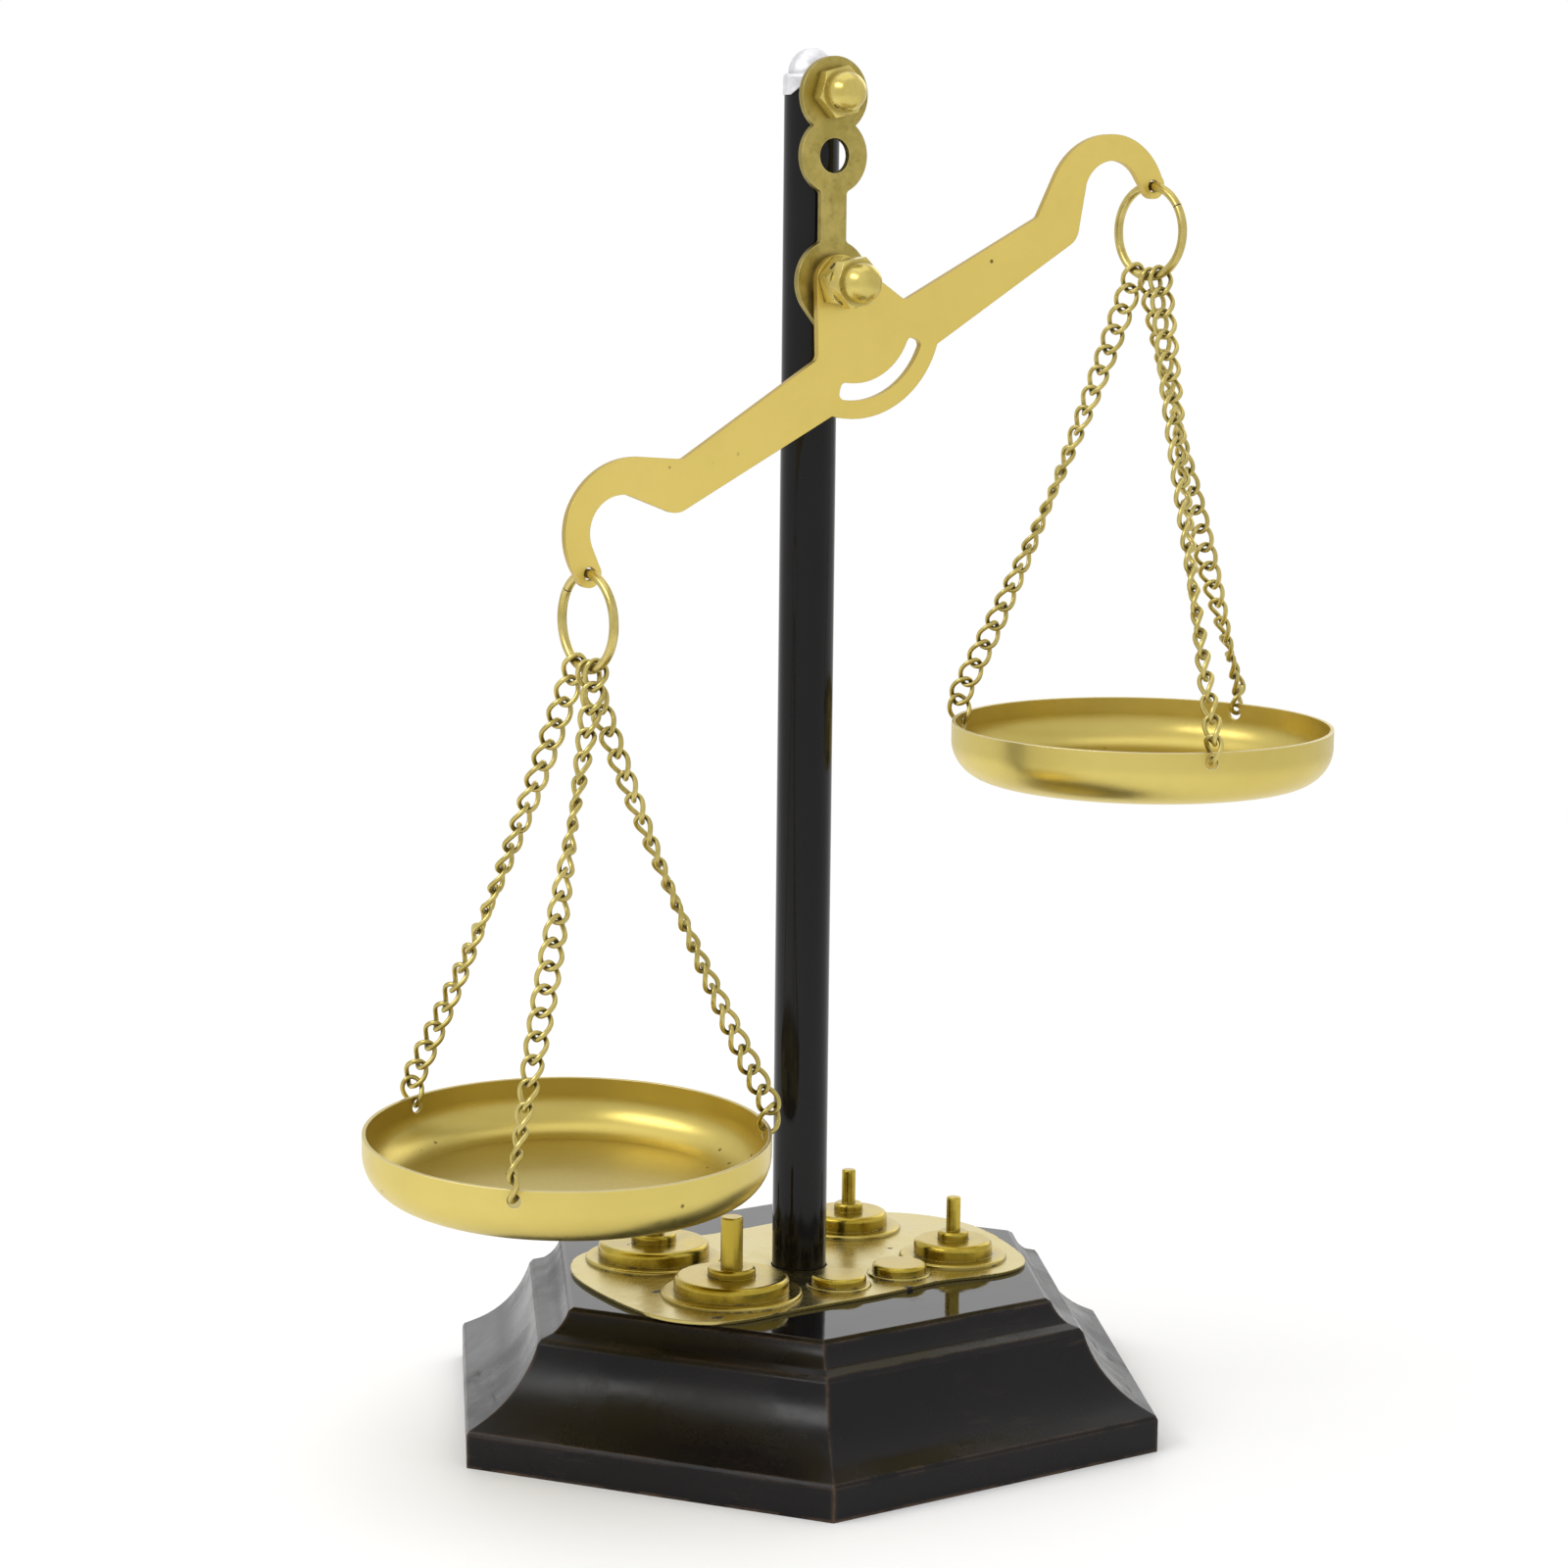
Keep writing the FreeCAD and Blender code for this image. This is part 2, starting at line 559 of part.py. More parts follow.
# ------------------------------------------------------------------ pans
def build_pan(hole_angles):
    """A thin spun dish about its own axis, rim at z = 0, with three small holes."""
    def side(offset):
        """Outline of one skin, from the rim down to the axis."""
        radius, depth = pan_radius - offset, pan_depth - offset
        flat = pan_flat_radius
        bend = math.radians(45)
        middle = V(flat + (radius - flat) * math.cos(bend), 0,
                   -pan_rim_height - (depth - pan_rim_height) * math.sin(bend))
        return V(radius, 0, 0), V(radius, 0, -pan_rim_height), middle, V(flat, 0, -depth), V(0, 0, -depth)

    outer, inner = side(0.0), side(pan_wall)
    edges = [line(outer[0], outer[1]), arc(outer[1], outer[2], outer[3]), line(outer[3], outer[4]),
             line(outer[4], inner[4]), line(inner[4], inner[3]), arc(inner[3], inner[2], inner[1]),
             line(inner[1], inner[0]), line(inner[0], outer[0])]
    body = Part.Face(Part.Wire(edges)).revolve(ORIGIN, Z, 360)
    for angle in hole_angles:
        turn = math.radians(angle)
        out = V(math.cos(turn), math.sin(turn), 0)
        drop = Z * -pan_hole_drop
        inside, outside = out * (pan_radius - 4) + drop, out * (pan_radius + 3) + drop
        body = body.cut(cylinder(pan_hole_dia / 2, inside, outside))
    return body


def build_side(name, side, ring_yaw, gap_angle, pan_offset, rim_drop, pan_lean, hole_angles,
               chain_turns):
    """Ring, three chains and pan below one hook."""
    hole = hook_point(side)
    ring_centre = hole - Z * ring_mean_radius
    save(name + "_ring", build_ring(hole, ring_yaw, gap_angle))
    place = FreeCAD.Placement(V(hole.x + pan_offset[0], hole.y + pan_offset[1], hole.z - rim_drop),
                              FreeCAD.Rotation(X, pan_lean[0]).multiply(FreeCAD.Rotation(Y, -pan_lean[1])))
    pan = build_pan(hole_angles)
    pan.Placement = place
    save(name + "_pan", pan)
    for k, angle in enumerate(hole_angles):
        turn = math.radians(angle)
        out = V(math.cos(turn), math.sin(turn), 0)
        spot = place.multVec(out * (pan_radius - pan_wall / 2) - Z * pan_hole_drop)
        chain = build_chain(ring_centre, ring_yaw, ring_angles[k], spot,
                            place.Rotation.multVec(out), place.Rotation.multVec(Z), chain_turns[k])
        save(name + "_chain_" + ("front", "middle", "rear")[k], chain)


def main():
    save("plinth", build_plinth())
    save("weight_tray", build_tray())
    save("post_tube", build_post())
    save("post_cap", build_cap())
    plug, washer, bolt = build_base_fastening()
    save("base_plug", plug)
    save("base_washer", washer)
    save("base_bolt", bolt)
    save("post_plug", build_post_plug())
    save("hanger_saddle", build_saddle())
    save("hanger_stud", build_hanger_stud())
    save("suspension_link", build_link())
    washer, nut, bolt, nut_front = build_pivot()
    save("pivot_washer", washer)
    save("pivot_nut", nut)
    save("pivot_bolt", bolt)
    save("brass_cap_nuts", Part.makeCompound([cap_nut(hanger_z, link_front, 14),
                                              cap_nut(pivot_z, nut_front, 10)]))
    save("beam", build_beam())
    build_side("left", -1, 3.0, 39.0, (-4.0, 0.8), 117.9, (2.9, 1.3), (-133.6, -19.0, 111.0),
               (220, 120, -90))
    build_side("right", 1, 8.0, 146.0, (0.0, -1.2), 120.6, (0.9, 0.5), (-106.6, 22.0, 127.0),
               (-120, 290, 250))


main()
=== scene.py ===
import json
import math

import bmesh
import bpy
from mathutils import Matrix, Vector


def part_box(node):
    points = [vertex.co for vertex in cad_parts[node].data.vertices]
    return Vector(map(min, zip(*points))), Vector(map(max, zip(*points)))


# Looks of the equal arm balance scale: lacquered plinth, gold-painted dummy weights, black
# post, satin brass beam and pans, tarnished rings and chains. Metres, in the CAD's frame.
# Noise and cell scales are in cells per metre, colours are linear.

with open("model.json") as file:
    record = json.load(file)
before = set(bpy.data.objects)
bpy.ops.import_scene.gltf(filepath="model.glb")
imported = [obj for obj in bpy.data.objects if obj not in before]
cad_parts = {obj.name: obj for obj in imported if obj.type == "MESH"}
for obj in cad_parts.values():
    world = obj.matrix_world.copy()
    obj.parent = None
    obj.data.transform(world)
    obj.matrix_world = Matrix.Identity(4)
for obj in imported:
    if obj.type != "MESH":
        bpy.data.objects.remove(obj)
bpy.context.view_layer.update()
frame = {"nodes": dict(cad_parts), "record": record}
nodes = frame["nodes"]

MM = 0.001
PLINTH_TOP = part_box("plinth")[1][2]
SHEET_TOP = 31.5 * MM       # the moulded sheet lies below this height
WEIGHTS_START = 33.4 * MM   # the dummy weights rise above this height
FLOOR_FULL = 0.30           # radius up to which the floor is solid
FLOOR_EDGE = 0.95           # radius at which it has faded away
RAYS = 6                    # samples of every worn edge and crevice
WHITE = (1.0, 1.0, 1.0, 1.0)


# ------------------------------------------------------------------ node helpers
class Shader:
    """A small wrapper that adds nodes to one material and links them by name."""

    def __init__(self, name):
        self.material = bpy.data.materials.new(name)
        self.material.use_nodes = True
        self.tree = self.material.node_tree
        self.tree.nodes.clear()
        self.output = self.tree.nodes.new("ShaderNodeOutputMaterial")
        self.bsdf = self.tree.nodes.new("ShaderNodeBsdfPrincipled")
        self.tree.links.new(self.bsdf.outputs["BSDF"], self.output.inputs["Surface"])
        self.place = self.tree.nodes.new("ShaderNodeTexCoord").outputs["Object"]

    def put(self, socket, value):
        """Link a socket, or set a plain value."""
        if isinstance(value, bpy.types.NodeSocket):
            self.tree.links.new(value, socket)
        elif hasattr(socket.default_value, "__len__") and len(socket.default_value) == 4:
            socket.default_value = (*value[:3], 1.0)
        else:
            socket.default_value = value

    def stretched(self, stretch):
        """The object's coordinates, scaled by a vector."""
        node = self.tree.nodes.new("ShaderNodeMapping")
        node.inputs["Scale"].default_value = stretch
        self.tree.links.new(self.place, node.inputs["Vector"])
        return node.outputs["Vector"]

    def noise(self, scale, detail=4.0, rough=0.55, place=None, warp=0.0):
        """Cloudy noise around 0.5."""
        node = self.tree.nodes.new("ShaderNodeTexNoise")
        self.tree.links.new(place or self.place, node.inputs["Vector"])
        node.inputs["Scale"].default_value = scale
        node.inputs["Detail"].default_value = detail
        node.inputs["Roughness"].default_value = rough
        node.inputs["Distortion"].default_value = warp
        return node.outputs["Fac"]

    def cells(self, scale):
        """Distance to scattered points, for specks and pits."""
        node = self.tree.nodes.new("ShaderNodeTexVoronoi")
        self.tree.links.new(self.place, node.inputs["Vector"])
        node.inputs["Scale"].default_value = scale
        return node.outputs["Distance"]

    def ramp(self, value, low, high, bottom=0.0, top=1.0):
        """Smooth step from bottom, at low, to top, at high."""
        node = self.tree.nodes.new("ShaderNodeMapRange")
        node.interpolation_type = "SMOOTHSTEP"
        self.put(node.inputs["Value"], value)
        node.inputs["From Min"].default_value = low
        node.inputs["From Max"].default_value = high
        node.inputs["To Min"].default_value = bottom
        node.inputs["To Max"].default_value = top
        return node.outputs["Result"]

    def maths(self, operation, first, second=0.0):
        """One maths node on values or sockets."""
        node = self.tree.nodes.new("ShaderNodeMath")
        node.operation = operation
        self.put(node.inputs[0], first)
        self.put(node.inputs[1], second)
        return node.outputs["Value"]

    def times(self, first, second):
        """Product of two values."""
        return self.maths("MULTIPLY", first, second)

    def plus(self, first, second):
        """Sum of two values."""
        return self.maths("ADD", first, second)

    def minus(self, first, second):
        """First value less the second."""
        return self.maths("SUBTRACT", first, second)

    def mix(self, share, first, second):
        """Blend two colours."""
        node = self.tree.nodes.new("ShaderNodeMix")
        node.data_type = "RGBA"
        self.put(node.inputs["Factor"], share)
        self.put(node.inputs["A"], first)
        self.put(node.inputs["B"], second)
        return node.outputs["Result"]

    def bent_normal(self, radius):
        """The normal, averaged over the surface within a radius."""
        node = self.tree.nodes.new("ShaderNodeBevel")
        node.samples = RAYS
        node.inputs["Radius"].default_value = radius
        return node.outputs["Normal"]

    def edges(self, radius, low, high):
        """0 on flat ground, 1 on edges; low and high bound the cosine of the bend."""
        geometry = self.tree.nodes.new("ShaderNodeNewGeometry")
        dot = self.tree.nodes.new("ShaderNodeVectorMath")
        dot.operation = "DOT_PRODUCT"
        self.tree.links.new(self.bent_normal(radius), dot.inputs[0])
        self.tree.links.new(geometry.outputs["Normal"], dot.inputs[1])
        return self.ramp(dot.outputs["Value"], low, high, 1.0, 0.0)

    def crevice(self, distance, low=0.2, high=0.9):
        """1 deep in a corner, 0 in the open."""
        node = self.tree.nodes.new("ShaderNodeAmbientOcclusion")
        node.samples = RAYS
        node.inputs["Distance"].default_value = distance
        return self.ramp(node.outputs["AO"], low, high, 1.0, 0.0)

    def axis_of(self, vector, axis):
        """One component of a vector."""
        split = self.tree.nodes.new("ShaderNodeSeparateXYZ")
        self.tree.links.new(vector, split.inputs["Vector"])
        return split.outputs[axis]

    def height(self):
        """The height above the floor."""
        return self.axis_of(self.place, "Z")

    def facing(self, axis):
        """How far the surface faces along an axis of the object, -1 to 1."""
        normal = self.tree.nodes.new("ShaderNodeTexCoord").outputs["Normal"]
        return self.axis_of(normal, axis)

    def bump(self, height, strength, distance, soft_edge):
        """Bump from a height; soft_edge is the radius over which sharp edges shade round."""
        node = self.tree.nodes.new("ShaderNodeBump")
        node.inputs["Strength"].default_value = strength
        node.inputs["Distance"].default_value = distance
        self.tree.links.new(height, node.inputs["Height"])
        self.tree.links.new(self.bent_normal(soft_edge), node.inputs["Normal"])
        self.tree.links.new(node.outputs["Normal"], self.bsdf.inputs["Normal"])

    def finish(self, colour, roughness, metallic=0.0, **plain):
        """Connect the surface; plain values go on the sockets of the same name."""
        self.put(self.bsdf.inputs["Base Color"], colour)
        self.put(self.bsdf.inputs["Roughness"], roughness)
        self.put(self.bsdf.inputs["Metallic"], metallic)
        for name, value in plain.items():
            self.bsdf.inputs[name.replace("_", " ")].default_value = value
        return self.material


# ------------------------------------------------------------------ materials
def lacquer():
    """Black lacquer on wood, glossy on top, hazier on the mouldings, rubbed to brown at edges."""
    deep_black = (0.0036, 0.0029, 0.0032)
    soft_black = (0.0078, 0.0062, 0.0068)
    dark_wood = (0.070, 0.042, 0.025)
    pale_wood = (0.16, 0.100, 0.056)
    scuff_brown = (0.085, 0.058, 0.040)
    dust_grey = (0.22, 0.21, 0.20)
    gloss = 0.055
    s = Shader("black_lacquer")
    worn = s.ramp(s.noise(70, detail=6, rough=0.7), 0.37, 0.57)
    rub = s.times(s.edges(1.6 * MM, 0.88, 0.995), worn)
    streak = s.noise(1.0, detail=5, rough=0.65, place=s.stretched((60, 60, 420)))
    patch = s.ramp(s.noise(26, rough=0.6), 0.46, 0.66)
    scuff = s.times(s.ramp(streak, 0.55, 0.72), patch)
    dust = s.ramp(s.cells(420), 0.06, 0.02)
    colour = s.mix(s.noise(25, detail=3), deep_black, soft_black)
    colour = s.mix(rub, colour, s.mix(streak, dark_wood, pale_wood))
    colour = s.mix(s.times(scuff, 0.16), colour, scuff_brown)
    colour = s.mix(s.times(dust, 0.13), colour, dust_grey)
    moulding = s.ramp(s.height(), PLINTH_TOP - 0.6 * MM, PLINTH_TOP - 0.1 * MM, 1.0, 0.0)
    haze = s.ramp(s.noise(34, detail=5, rough=0.65, warp=0.4), 0.35, 0.7, 0.12, 0.30)
    rough = s.plus(gloss, s.times(moulding, haze))
    rough = s.plus(rough, s.times(s.maths("MAXIMUM", rub, scuff), 0.22))
    wave = s.plus(s.noise(22, detail=2), s.times(s.noise(260, detail=2), 0.05))
    wave = s.plus(wave, s.times(streak, 0.10))
    s.bump(wave, 0.22, 0.9 * MM, 0.6 * MM)
    return s.finish(colour, rough, Specular_IOR_Level=0.21)


def weight_paint():
    """Gold paint brushed over a dark moulding, chipped along its edges and stems."""
    dark_gold = (0.37, 0.270, 0.031)
    light_gold = (0.57, 0.435, 0.072)
    middle_gold = (0.45, 0.330, 0.044)
    painted_sheet_reflection = (0.58, 0.51, 0.24)
    crevice_shade_brown = (0.15, 0.11, 0.018)
    bare_moulding = (0.030, 0.026, 0.022)
    s = Shader("weight_gold_paint")
    patch = s.noise(110, detail=5, rough=0.65)
    base = s.mix(s.ramp(patch, 0.35, 0.68), dark_gold, light_gold)
    base = s.mix(s.ramp(s.noise(30, detail=3), 0.35, 0.7), base, middle_gold)
    # Painted reflection: the flat sheet below the weights is mixed towards a paler gold.
    sheet = s.ramp(s.height(), SHEET_TOP, WEIGHTS_START, 1.0, 0.0)
    base = s.mix(s.times(sheet, 0.55), base, painted_sheet_reflection)
    chip_field = s.plus(s.noise(240, rough=0.7), s.times(s.noise(60, detail=2), 0.45))
    edge_chips = s.times(s.edges(0.7 * MM, 0.86, 0.98), s.ramp(chip_field, 0.79, 0.86))
    stray_field = s.plus(s.noise(170, detail=3), s.times(s.noise(40, detail=2), 0.5))
    chips = s.maths("MAXIMUM", edge_chips, s.ramp(stray_field, 0.955, 0.985))
    # Painted shade: the paint is darkened towards brown in the crevices between the weights and
    # the sheet.
    crevice_shade = s.times(s.crevice(4.5 * MM, 0.30, 0.90), 0.80)
    colour = s.mix(chips, s.mix(crevice_shade, base, crevice_shade_brown), bare_moulding)
    rough = s.plus(s.ramp(patch, 0.3, 0.7, 0.19, 0.32), s.times(chips, 0.2))
    relief = s.minus(s.noise(230, detail=2), s.times(chips, 0.8))
    s.bump(relief, 0.20, 0.16 * MM, 0.3 * MM)
    return s.finish(colour, rough, s.minus(1.0, chips))


def post_paint():
    """Gloss black paint on a drawn tube, with faint long waves."""
    deep_black = (0.0045, 0.0042, 0.0045)
    soft_black = (0.009, 0.0085, 0.0085)
    speck_grey = (0.2, 0.2, 0.2)
    s = Shader("black_gloss_paint")
    specks = s.ramp(s.cells(300), 0.05, 0.02)
    colour = s.mix(s.noise(60, detail=3), deep_black, soft_black)
    colour = s.mix(s.times(specks, 0.12), colour, speck_grey)
    drawn = s.noise(30, rough=0.6, place=s.stretched((1, 1, 0.2)))
    wave = s.noise(90, detail=2, place=s.stretched((1, 1, 0.15)))
    s.bump(wave, 0.10, 0.4 * MM, 0.2 * MM)
    return s.finish(colour, s.ramp(drawn, 0.35, 0.7, 0.09, 0.17), Specular_IOR_Level=0.22)


def silver_paint():
    """Pale silver paint over a turned cap."""
    grey_silver = (0.60, 0.60, 0.62)
    pale_silver = (0.85, 0.85, 0.88)
    crevice_shade_brown = (0.16, 0.14, 0.12)
    flake_share = 0.55
    s = Shader("silver_paint")
    patch = s.noise(320, rough=0.6)
    colour = s.mix(s.ramp(patch, 0.3, 0.7), grey_silver, pale_silver)
    # Painted shade: the silver is darkened towards brown in the crevices.
    crevice_shade = s.crevice(1.4 * MM, 0.3, 0.95)
    colour = s.mix(s.times(crevice_shade, 0.5), colour, crevice_shade_brown)
    s.bump(s.noise(900, detail=2), 0.25, 0.05 * MM, 0.4 * MM)
    return s.finish(colour, s.ramp(patch, 0.3, 0.7, 0.30, 0.44), flake_share)


def gold_paint():
    """Satin gold paint on nuts, with a painted highlight on the corners and painted shade in the
    crevices, worn to dark in a few chips.
    """
    dark_gold = (0.56, 0.45, 0.115)
    light_gold = (0.70, 0.57, 0.17)
    corner_highlight_gold = (0.92, 0.82, 0.46)
    crevice_shade_brown = (0.15, 0.11, 0.025)
    chip_black = (0.03, 0.022, 0.015)
    flake_share = 0.8
    s = Shader("gold_paint")
    patch = s.noise(130, rough=0.6)
    chip_field = s.plus(s.noise(330, detail=3), s.times(s.noise(90, detail=2), 0.4))
    chips = s.ramp(chip_field, 0.875, 0.895)
    corners = s.edges(0.25 * MM, 0.86, 0.98)
    nook = s.crevice(2.4 * MM, 0.3, 0.92)
    colour = s.mix(s.ramp(patch, 0.3, 0.7), dark_gold, light_gold)
    # Painted highlight: the corners are mixed towards a pale gold.
    colour = s.mix(s.times(corners, 0.22), colour, corner_highlight_gold)
    # Painted shade: the crevices are mixed towards brown.
    colour = s.mix(s.times(nook, 0.66), colour, crevice_shade_brown)
    colour = s.mix(chips, colour, chip_black)
    metal = s.minus(flake_share, s.times(chips, flake_share))
    s.bump(s.noise(500, detail=2), 0.05, 0.05 * MM, 0.15 * MM)
    return s.finish(colour, s.ramp(patch, 0.3, 0.7, 0.23, 0.31), metal)


def zinc_steel():
    """Plain zinc-coated steel."""
    dark_zinc = (0.36, 0.36, 0.35)
    pale_zinc = (0.60, 0.60, 0.59)
    crevice_shade_grey = (0.10, 0.09, 0.08)
    s = Shader("zinc_steel")
    spangle = s.noise(500, detail=3, rough=0.6)
    # Painted shade: the crevices are darkened towards grey.
    colour = s.mix(s.crevice(1.5 * MM), s.mix(spangle, dark_zinc, pale_zinc), crevice_shade_grey)
    s.bump(spangle, 0.2, 0.04 * MM, 0.2 * MM)
    return s.finish(colour, s.ramp(spangle, 0.3, 0.7, 0.25, 0.45), 1.0)


def brass(name, light, deep, stain_and_shade, rough_range, nook_share, mottle=90, tarnish=0.0,
          cut_share=0.0, floor_shade_share=0.0, pits=0.0, edge_polish_and_highlight=0.0, edge_tint=WHITE,
          soft=0.25 * MM, grain=0.10, reach=1.6 * MM):
    """Brass, from satin new to olive and mottled.

    light, deep: the two tints of the metal, in clouds of scale mottle.
    stain_and_shade: the tarnish colour, also used for painted shade. Tarnish and painted shade
    gather in crevices within reach (nook_share); tarnish lies in clouds on the open surface
    (tarnish) and on faces that were cut across the sheet (cut_share); painted shade darkens
    floors (floor_shade_share).
    pits: how dark the few small pits are.
    edge_polish_and_highlight, edge_tint: share and tint of the bright edges, partly polish and
    partly painted highlight.
    rough_range: least and greatest roughness; grain: strength of the fine relief.
    soft: radius over which sharp edges shade round.
    """
    pit_brown = (0.10, 0.065, 0.02)
    s = Shader(name)
    cloud = s.noise(mottle, detail=5, rough=0.62)
    metal = s.mix(s.ramp(cloud, 0.34, 0.68), deep, light)
    stain_clouds = s.ramp(s.noise(mottle * 2.3, detail=6, rough=0.7), 0.48, 0.72)
    metal = s.mix(s.times(stain_clouds, tarnish), metal, stain_and_shade)
    # Tarnish and painted shade: the metal is darkened in the crevices.
    nook = s.times(s.crevice(reach, 0.25, 0.95), nook_share)
    metal = s.mix(nook, metal, stain_and_shade)
    if cut_share:
        cut = s.ramp(s.maths("ABSOLUTE", s.facing("Y")), 0.35, 0.85, cut_share, 0.0)
        metal = s.mix(cut, metal, stain_and_shade)
    if floor_shade_share:
        # Painted shade: surfaces facing up are darkened towards the tarnish colour.
        metal = s.mix(s.ramp(s.facing("Z"), 0.70, 0.99, 0.0, floor_shade_share), metal, stain_and_shade)
    if edge_polish_and_highlight:
        # Polish and painted highlight: the edges are lightened towards the edge tint.
        rim = s.times(s.edges(0.5 * MM, 0.88, 0.99), edge_polish_and_highlight)
        metal = s.mix(rim, metal, edge_tint)
    fine = s.noise(700, detail=3, rough=0.6)
    relief = fine
    if pits:
        few = s.ramp(s.noise(45, detail=2), 0.50, 0.56)
        spot = s.times(s.ramp(s.cells(130), 0.080, 0.035), few)
        metal = s.mix(s.times(spot, pits), metal, pit_brown)
        relief = s.minus(fine, s.times(spot, 3.0))
    low, high = rough_range
    blend = s.plus(s.times(cloud, 0.6), s.times(fine, 0.4))
    rough = s.plus(s.ramp(blend, 0.35, 0.65, low, high), s.times(nook, 0.22))
    s.bump(relief, grain, 0.03 * MM, soft)
    return s.finish(metal, rough, 1.0)


def beam_brass():
    """New satin sheet, darker on its cut edges."""
    return brass("satin_brass", light=(0.82, 0.645, 0.18), deep=(0.78, 0.61, 0.16),
                 stain_and_shade=(0.30, 0.19, 0.05), rough_range=(0.36, 0.44), nook_share=0.40,
                 mottle=30, tarnish=0.05, cut_share=0.50, pits=0.85)


def pan_brass():
    """Spun dish with a polished rim under a painted highlight, and painted shade on its floor and
    in its hollow.
    """
    return brass("pan_brass", light=(0.70, 0.57, 0.17), deep=(0.63, 0.505, 0.14),
                 stain_and_shade=(0.24, 0.18, 0.035), rough_range=(0.29, 0.37), nook_share=0.50,
                 mottle=16, tarnish=0.05, floor_shade_share=0.40, pits=0.8, edge_polish_and_highlight=0.5,
                 edge_tint=(0.92, 0.84, 0.52), grain=0.05, reach=14 * MM)


def link_brass():
    """Old olive sheet, mottled with tarnish."""
    return brass("dark_brass", light=(0.53, 0.43, 0.13), deep=(0.39, 0.31, 0.08),
                 stain_and_shade=(0.13, 0.092, 0.02), rough_range=(0.32, 0.46), nook_share=0.6,
                 mottle=160, tarnish=0.35, cut_share=0.35, edge_polish_and_highlight=0.3,
                 edge_tint=(0.72, 0.62, 0.30))


def ring_brass():
    """Drawn wire, a little tarnished, rubbed bright and given a faint painted highlight on its
    edges.
    """
    return brass("ring_brass", light=(0.70, 0.58, 0.22), deep=(0.50, 0.40, 0.12),
                 stain_and_shade=(0.15, 0.11, 0.03), rough_range=(0.24, 0.36), nook_share=0.5,
                 mottle=110, tarnish=0.14, edge_polish_and_highlight=0.15, edge_tint=(0.78, 0.75, 0.62),
                 soft=0.1 * MM, grain=0.04)


def chain_brass():
    """Antique wire, dark with tarnish and painted shade where the links cross."""
    return brass("chain_brass", light=(0.64, 0.53, 0.185), deep=(0.48, 0.39, 0.115),
                 stain_and_shade=(0.05, 0.037, 0.009), rough_range=(0.26, 0.38), nook_share=0.85,
                 mottle=60, tarnish=0.12, soft=0.1 * MM, grain=0.05)


looks = {
    "black_lacquered_wood": lacquer(),
    "gold_painted_plastic": weight_paint(),
    "black_gloss_paint": post_paint(),
    "silver_paint": silver_paint(),
    "gold_paint": gold_paint(),
    "satin_brass": beam_brass(),
    "pan_brass": pan_brass(),
    "dark_brass": link_brass(),
    "ring_brass": ring_brass(),
    "chain_brass": chain_brass(),
    "steel": zinc_steel(),
}
slot_of = {row["node"]: row["material_slot"] for row in frame["record"]["subparts"]}

for name, node in nodes.items():
    node.data.materials.clear()
    node.data.materials.append(looks[slot_of[name]])


# ------------------------------------------------------------------ floor, lights, camera
def floor_paper():
    """White paper that turns transparent between the two radii of the floor."""
    dark_paper = (0.94, 0.94, 0.94)
    pale_paper = (0.96, 0.96, 0.96)
    s = Shader("floor_paper")
    s.finish(s.mix(s.noise(3, detail=2), dark_paper, pale_paper), 0.6, Specular_IOR_Level=0.2)
    radius = s.tree.nodes.new("ShaderNodeVectorMath")
    radius.operation = "LENGTH"
    s.tree.links.new(s.place, radius.inputs[0])
    clear = s.tree.nodes.new("ShaderNodeBsdfTransparent")
    blend = s.tree.nodes.new("ShaderNodeMixShader")
    fade = s.ramp(radius.outputs["Value"], FLOOR_FULL, FLOOR_EDGE)
    s.tree.links.new(fade, blend.inputs["Fac"])
    s.tree.links.new(s.bsdf.outputs["BSDF"], blend.inputs[1])
    s.tree.links.new(clear.outputs["BSDF"], blend.inputs[2])
    s.tree.links.new(blend.outputs["Shader"], s.output.inputs["Surface"])
    return s.material


def pale_floor():
    """A round pale floor that thins out into the white room, the same from every side."""
    work = bmesh.new()
    bmesh.ops.create_circle(work, cap_ends=True, segments=96, radius=FLOOR_EDGE)
    mesh = bpy.data.meshes.new("floor")
    work.to_mesh(mesh)
    work.free()
    floor = bpy.data.objects.new("floor", mesh)
    bpy.context.scene.collection.objects.link(floor)
    mesh.materials.append(floor_paper())


def area_light(name, place, width, depth, watts):
    """A soft box that faces the middle of the object and that the camera doesn't see."""
    middle = Vector((0, 0, 0.12))
    data = bpy.data.lights.new(name, "AREA")
    data.shape = "RECTANGLE"
    data.size = width
    data.size_y = depth
    data.energy = watts
    light = bpy.data.objects.new(name, data)
    light.location = place
    light.visible_camera = False
    light.rotation_euler = (middle - Vector(place)).to_track_quat("-Z", "Y").to_euler()
    bpy.context.scene.collection.objects.link(light)


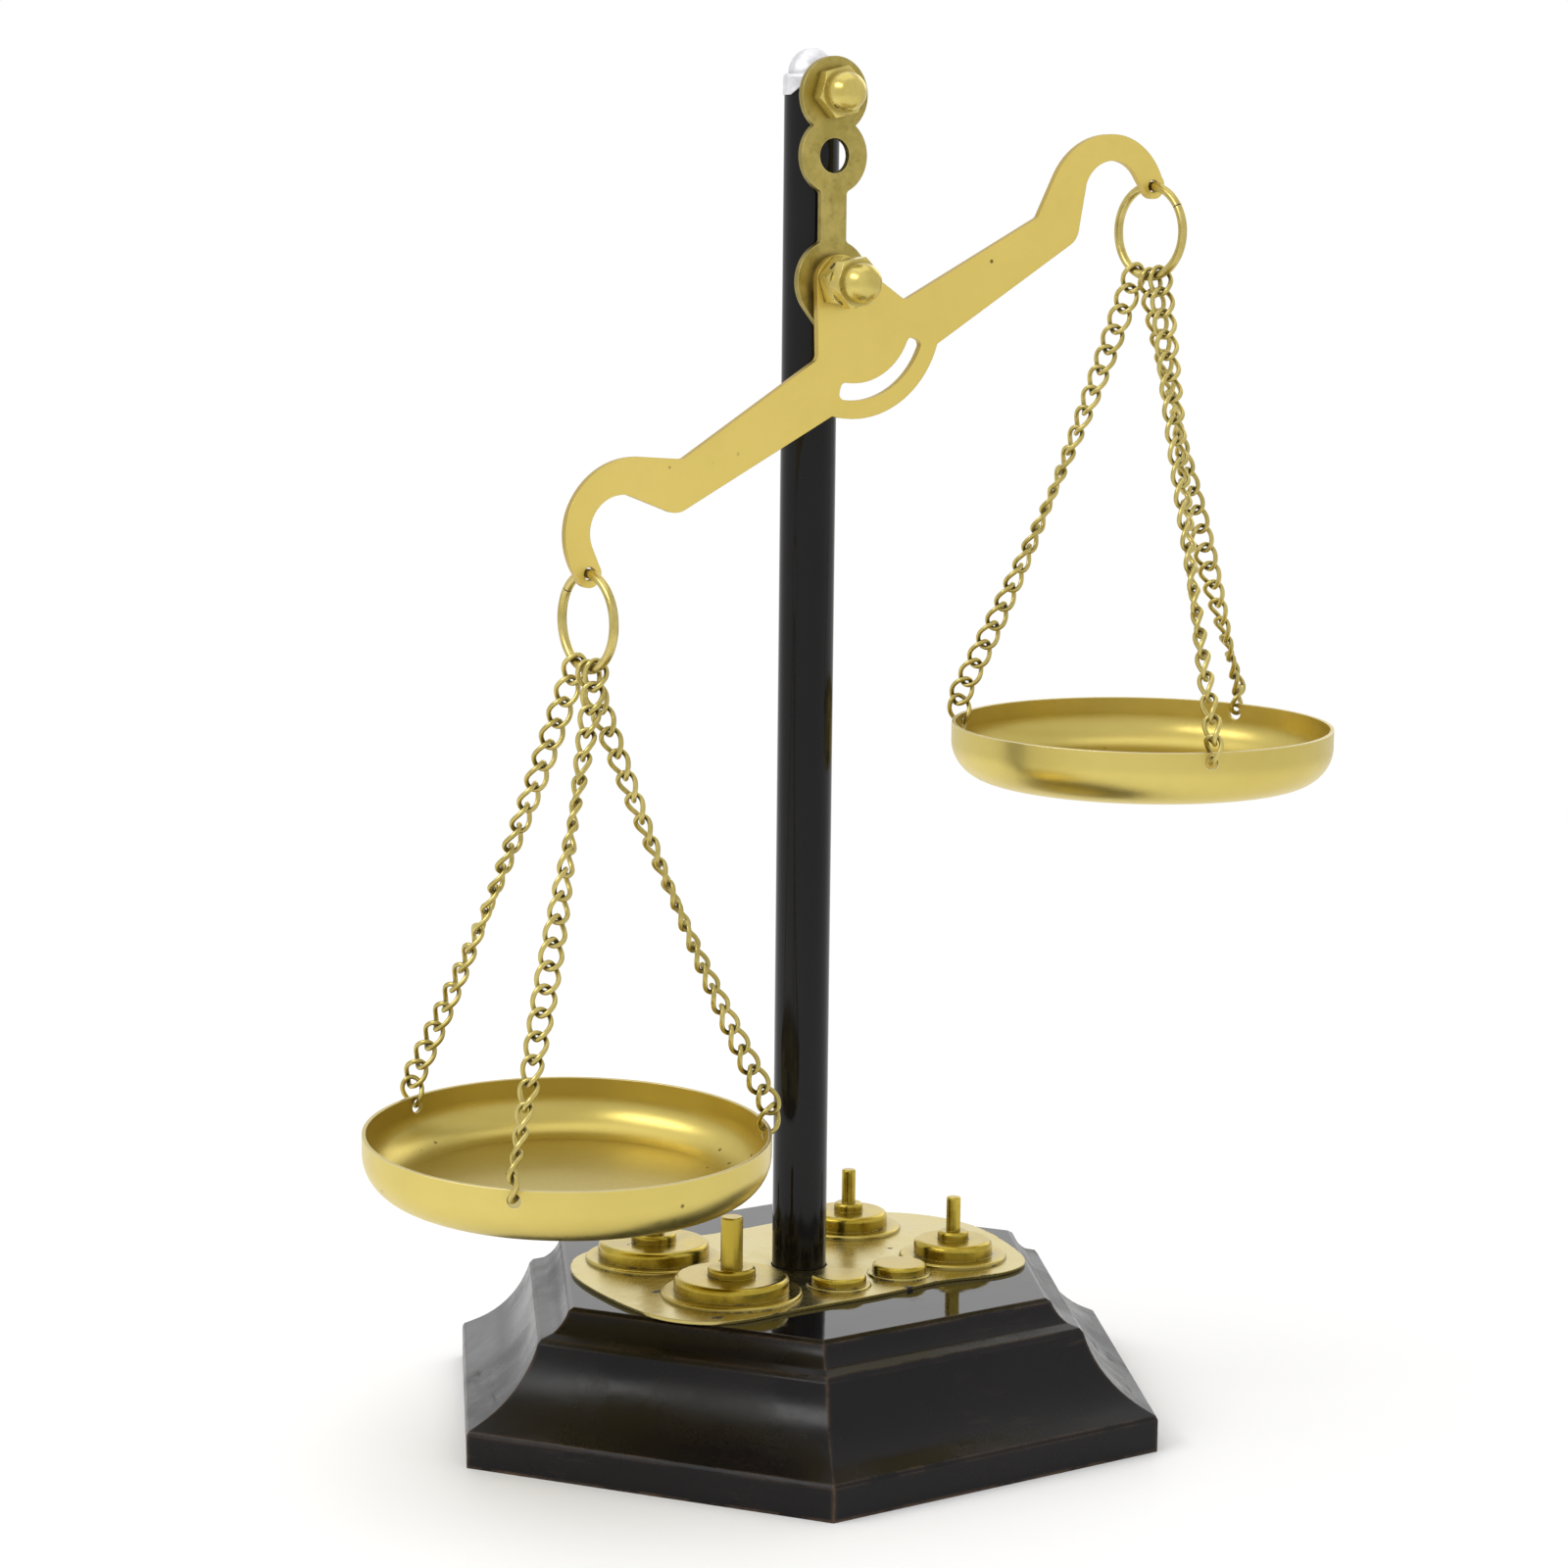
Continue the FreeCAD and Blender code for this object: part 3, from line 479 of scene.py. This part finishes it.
def white_room():
    """A white world, brighter to the camera than it is as a light."""
    backdrop_level = 1.0
    light_level = 0.84
    world = bpy.data.worlds.new("studio")
    world.use_nodes = True
    tree = world.node_tree
    background = tree.nodes["Background"]
    background.inputs["Color"].default_value = WHITE
    path = tree.nodes.new("ShaderNodeLightPath")
    level = tree.nodes.new("ShaderNodeMapRange")
    level.inputs["To Min"].default_value = light_level
    level.inputs["To Max"].default_value = backdrop_level
    tree.links.new(path.outputs["Is Camera Ray"], level.inputs["Value"])
    tree.links.new(level.outputs["Result"], background.inputs["Strength"])
    bpy.context.scene.world = world


def studio():
    """A white tent with four soft boxes."""
    white_room()
    bpy.context.scene.view_settings.view_transform = "Standard"
    area_light("overhead", (0.0, 0.25, 1.5), width=1.3, depth=1.3, watts=3.0)
    area_light("left_box", (-1.00, 0.00, 0.92), width=0.9, depth=0.30, watts=5.0)
    area_light("right_box", (1.2, 0.55, 0.80), width=0.8, depth=0.8, watts=2.0)
    area_light("back_box", (0.75, 1.35, 0.45), width=1.2, depth=0.7, watts=1.2)


def photo_camera():
    """A long lens a little above the plinth, off to the left of the beam's front."""
    azimuth = math.radians(-32.31)
    elevation = math.radians(8.28)
    roll = math.radians(0.61)
    distance = 0.89879
    target = Vector((-0.00375, 0.00237, 0.13972))
    right = Vector((math.cos(azimuth), math.sin(azimuth), 0))
    back = Vector((math.sin(azimuth) * math.cos(elevation),
                   -math.cos(azimuth) * math.cos(elevation),
                   math.sin(elevation)))
    up = back.cross(right)
    side = right * math.cos(roll) + up * math.sin(roll)
    top = up * math.cos(roll) - right * math.sin(roll)
    data = bpy.data.cameras.new("camera")
    data.sensor_width = 36.0
    data.lens = 94.26
    data.clip_start = 0.01
    data.clip_end = 50.0
    camera = bpy.data.objects.new("camera", data)
    bpy.context.scene.collection.objects.link(camera)
    turn = Matrix((side, top, back)).transposed().to_4x4()
    camera.matrix_world = Matrix.Translation(target + back * distance) @ turn
    bpy.context.scene.camera = camera


pale_floor()
studio()
photo_camera()
